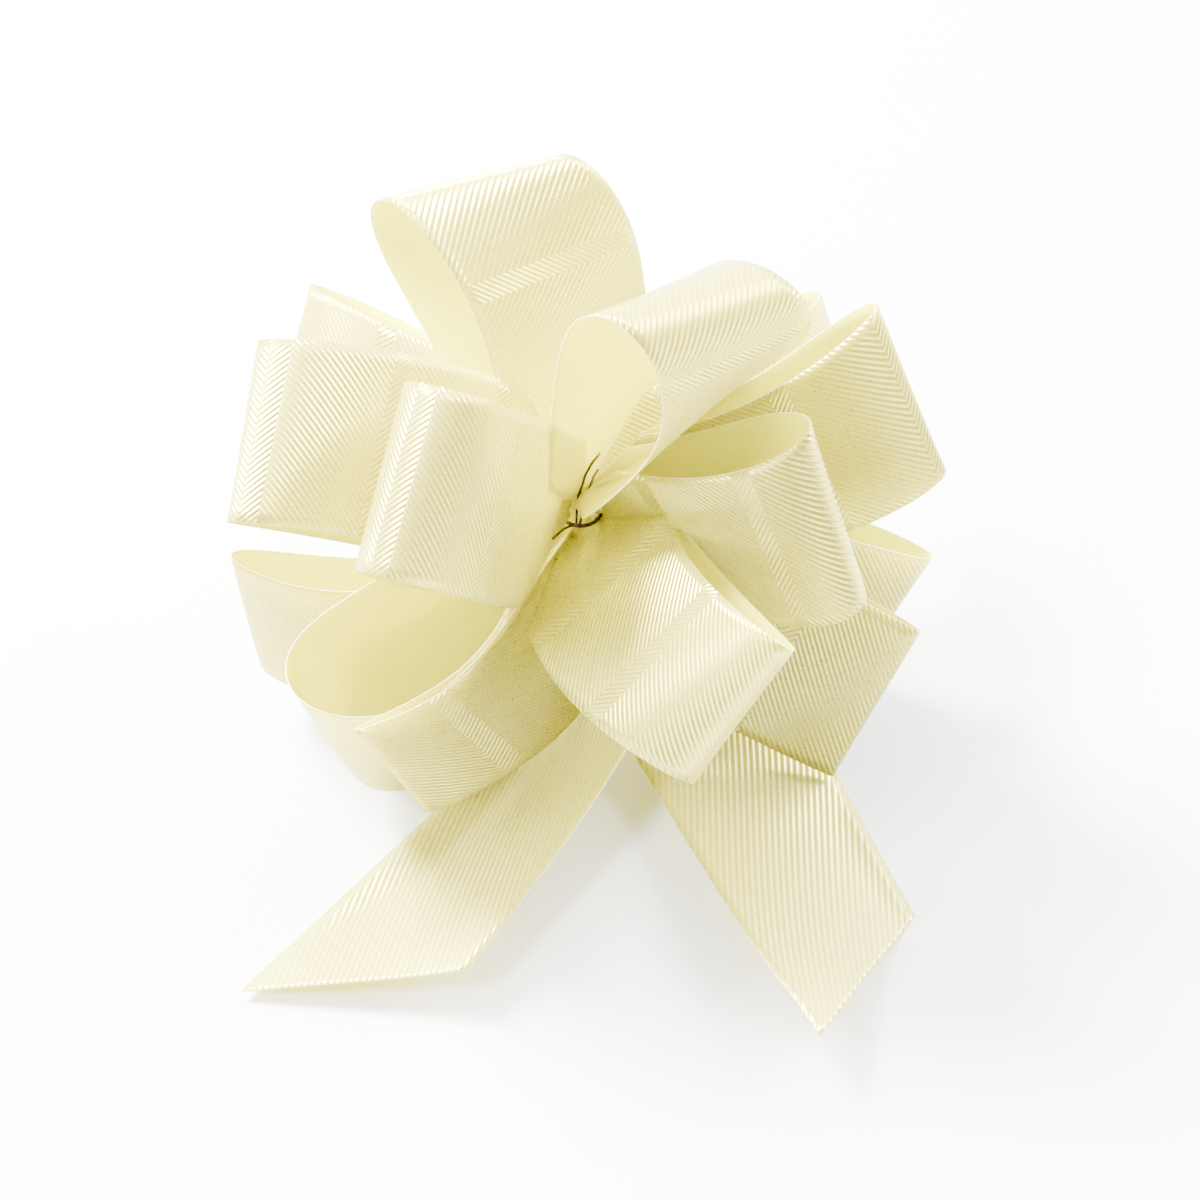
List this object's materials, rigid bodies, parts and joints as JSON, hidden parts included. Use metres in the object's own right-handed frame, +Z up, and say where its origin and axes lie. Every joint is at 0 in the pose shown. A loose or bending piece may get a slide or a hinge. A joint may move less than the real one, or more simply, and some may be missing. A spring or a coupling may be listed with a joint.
{
  "type": "pre-made gift bow",
  "caption": "Pre-made pull bow of embossed cream ribbon: notched loops and slant-cut tails gathered and tied at the centre with thin wire.",
  "frame": {"origin": "the point of the table straight under the tie, where the bow rests", "axes": "+Z up from the table, -Y towards the side the tails point to, +X to the right seen from that side"},
  "size_m": [0.124, 0.1457, 0.1022],
  "materials": {
    "ribbon": "satin, embossed herringbone",
    "wire": "dark annealed"
  },
  "bodies": {
    "tie": {"waist_stack": "ribbon", "tie_wire": "wire", "loop_back_low_left": "ribbon", "loop_back_low_right": "ribbon"},
    "loop_crown_body": {"loop_crown": "ribbon"},
    "loop_back_top_body": {"loop_back_top": "ribbon"},
    "loop_right_upper_body": {"loop_right_upper": "ribbon"},
    "loop_front_right_upper_body": {"loop_front_right_upper": "ribbon"},
    "loop_front_body": {"loop_front": "ribbon"},
    "loop_front_left_upper_body": {"loop_front_left_upper": "ribbon"},
    "loop_left_upper_body": {"loop_left_upper": "ribbon"},
    "loop_back_left_body": {"loop_back_left": "ribbon"},
    "loop_back_right_body": {"loop_back_right": "ribbon"},
    "loop_right_lower_body": {"loop_right_lower": "ribbon"},
    "loop_front_right_lower_body": {"loop_front_right_lower": "ribbon"},
    "loop_front_low_body": {"loop_front_low": "ribbon"},
    "loop_front_left_lower_body": {"loop_front_left_lower": "ribbon"},
    "loop_left_lower_body": {"loop_left_lower": "ribbon"},
    "tail_left_body": {"tail_left": "ribbon"},
    "tail_right_body": {"tail_right": "ribbon"}
  },
  "joints": [
    {"name": "loop_crown_swing", "type": "hinge", "parent": "tie", "child": "loop_crown_body", "pos_m": [0.00112, -0.00054, 0.04633], "axis": [0.8116, 0.5677, -0.1378], "range_deg": [-8, 2]},
    {"name": "loop_back_top_swing", "type": "hinge", "parent": "tie", "child": "loop_back_top_body", "pos_m": [-0.00117, 0.00359, 0.04445], "axis": [-0.9074, -0.3943, 0.1456], "range_deg": [-10, 3]},
    {"name": "loop_right_upper_swing", "type": "hinge", "parent": "tie", "child": "loop_right_upper_body", "pos_m": [0.0041, 0.00058, 0.04376], "axis": [-0.407, 0.4169, 0.8128], "range_deg": [-6, 2]},
    {"name": "loop_front_right_upper_swing", "type": "hinge", "parent": "tie", "child": "loop_front_right_upper_body", "pos_m": [0.00304, -0.00237, 0.04432], "axis": [-0.2928, 0.4491, 0.8441], "range_deg": [-2, 8]},
    {"name": "loop_front_swing", "type": "hinge", "parent": "tie", "child": "loop_front_body", "pos_m": [0.00139, -0.00427, 0.04224], "axis": [0.6845, 0.2599, 0.6811], "range_deg": [0, 10]},
    {"name": "loop_front_left_upper_swing", "type": "hinge", "parent": "tie", "child": "loop_front_left_upper_body", "pos_m": [-0.00182, -0.00225, 0.04545], "axis": [-0.2645, -0.7379, -0.6209], "range_deg": [-4, 5]},
    {"name": "loop_left_upper_swing", "type": "hinge", "parent": "tie", "child": "loop_left_upper_body", "pos_m": [-0.00398, -0.00049, 0.04404], "axis": [-0.1963, -0.7959, -0.5727], "range_deg": [-5, 2]},
    {"name": "loop_back_left_swing", "type": "hinge", "parent": "tie", "child": "loop_back_left_body", "pos_m": [-0.00382, 0.00238, 0.042], "axis": [-0.4059, -0.6496, -0.6428], "range_deg": [-8, 4]},
    {"name": "loop_back_right_swing", "type": "hinge", "parent": "tie", "child": "loop_back_right_body", "pos_m": [0.00345, 0.00289, 0.04216], "axis": [-0.4168, 0.4539, 0.7875], "range_deg": [-5, 8]},
    {"name": "loop_right_lower_swing", "type": "hinge", "parent": "tie", "child": "loop_right_lower_body", "pos_m": [0.00414, 0.00022, 0.04024], "axis": [0.3708, 0.2276, 0.9004], "range_deg": [-2, 3]},
    {"name": "loop_front_right_lower_swing", "type": "hinge", "parent": "tie", "child": "loop_front_right_lower_body", "pos_m": [0.00376, -0.00167, 0.04017], "axis": [0.4883, 0.157, 0.8585], "range_deg": [-8, 2]},
    {"name": "loop_front_low_swing", "type": "hinge", "parent": "tie", "child": "loop_front_low_body", "pos_m": [-0.0022, -0.00339, 0.04003], "axis": [0.3251, 0.3087, -0.8939], "range_deg": [-8, 1]},
    {"name": "loop_front_left_lower_swing", "type": "hinge", "parent": "tie", "child": "loop_front_left_lower_body", "pos_m": [-0.00339, -0.0022, 0.04003], "axis": [0.4566, 0.0895, -0.8851], "range_deg": [-1, 1]},
    {"name": "loop_left_lower_swing", "type": "hinge", "parent": "tie", "child": "loop_left_lower_body", "pos_m": [-0.0041, -0.0008, 0.04031], "axis": [0.3953, -0.1001, -0.9131], "range_deg": [-1, 6]},
    {"name": "tail_left_swing", "type": "hinge", "parent": "tie", "child": "tail_left_body", "pos_m": [0, 0, 0.042], "axis": [0, 0, 1], "range_deg": [-12, 1]},
    {"name": "tail_right_swing", "type": "hinge", "parent": "tie", "child": "tail_right_body", "pos_m": [0, 0, 0.042], "axis": [0, 0, 1], "range_deg": [-1, 12]}
  ]
}
